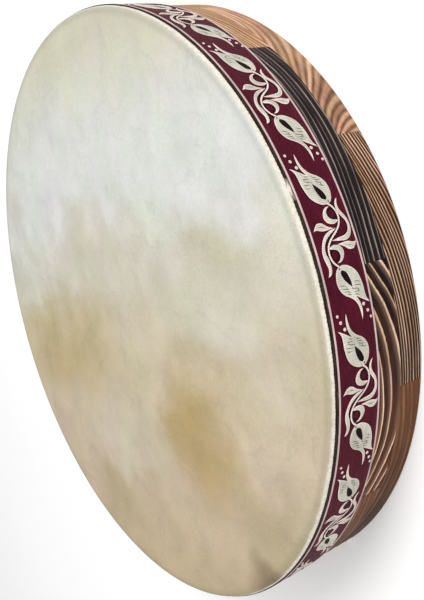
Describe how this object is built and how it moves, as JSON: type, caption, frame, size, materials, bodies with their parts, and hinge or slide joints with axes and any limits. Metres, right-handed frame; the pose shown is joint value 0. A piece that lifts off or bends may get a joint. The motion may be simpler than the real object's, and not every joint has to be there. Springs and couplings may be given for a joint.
{
  "type": "frame drum",
  "caption": "Hand-held frame drum: a segmented wooden hoop, a goat-hide head lapped over its edge and a woven ribbon over the lap; open at the back.",
  "frame": {"origin": "centre of the hoop's open back edge, on the surface the drum lies on", "axes": "+Z along the drum's axis, out through the head; +X and +Y across the hoop"},
  "size_m": [0.4, 0.3998, 0.0688],
  "materials": {
    "wood_tan": "scorched pale softwood, waxed",
    "wood_brown": "scorched brown softwood, waxed",
    "wood_dark": "charred dark softwood, waxed",
    "hide": "mottled natural goat rawhide, satin",
    "braid": "matt black woven braid",
    "ribbon": "burgundy jacquard ribbon with a silver-white woven motif"
  },
  "bodies": {
    "root": {"head_ring_block_1": "wood_tan", "head_ring_block_2": "wood_brown", "head_ring_block_3": "wood_dark", "head_ring_block_4": "wood_brown", "head_ring_block_5": "wood_tan", "head_ring_block_6": "wood_brown", "head_ring_block_7": "wood_dark", "head_ring_block_8": "wood_tan", "head_ring_block_9": "wood_brown", "second_ring_block_1": "wood_brown", "second_ring_block_2": "wood_tan", "second_ring_block_3": "wood_brown", "second_ring_block_4": "wood_dark", "second_ring_block_5": "wood_brown", "second_ring_block_6": "wood_tan", "second_ring_block_7": "wood_brown", "second_ring_block_8": "wood_dark", "second_ring_block_9": "wood_tan", "third_ring_block_1": "wood_dark", "third_ring_block_2": "wood_tan", "third_ring_block_3": "wood_brown", "third_ring_block_4": "wood_tan", "third_ring_block_5": "wood_brown", "third_ring_block_6": "wood_brown", "third_ring_block_7": "wood_dark", "third_ring_block_8": "wood_tan", "third_ring_block_9": "wood_brown", "back_ring_block_1": "wood_brown", "back_ring_block_2": "wood_dark", "back_ring_block_3": "wood_tan", "back_ring_block_4": "wood_brown", "back_ring_block_5": "wood_brown", "back_ring_block_6": "wood_brown", "back_ring_block_7": "wood_tan", "back_ring_block_8": "wood_tan", "back_ring_block_9": "wood_dark", "hide_head": "hide", "edging_braid": "braid", "ribbon": "ribbon"}
  },
  "joints": []
}
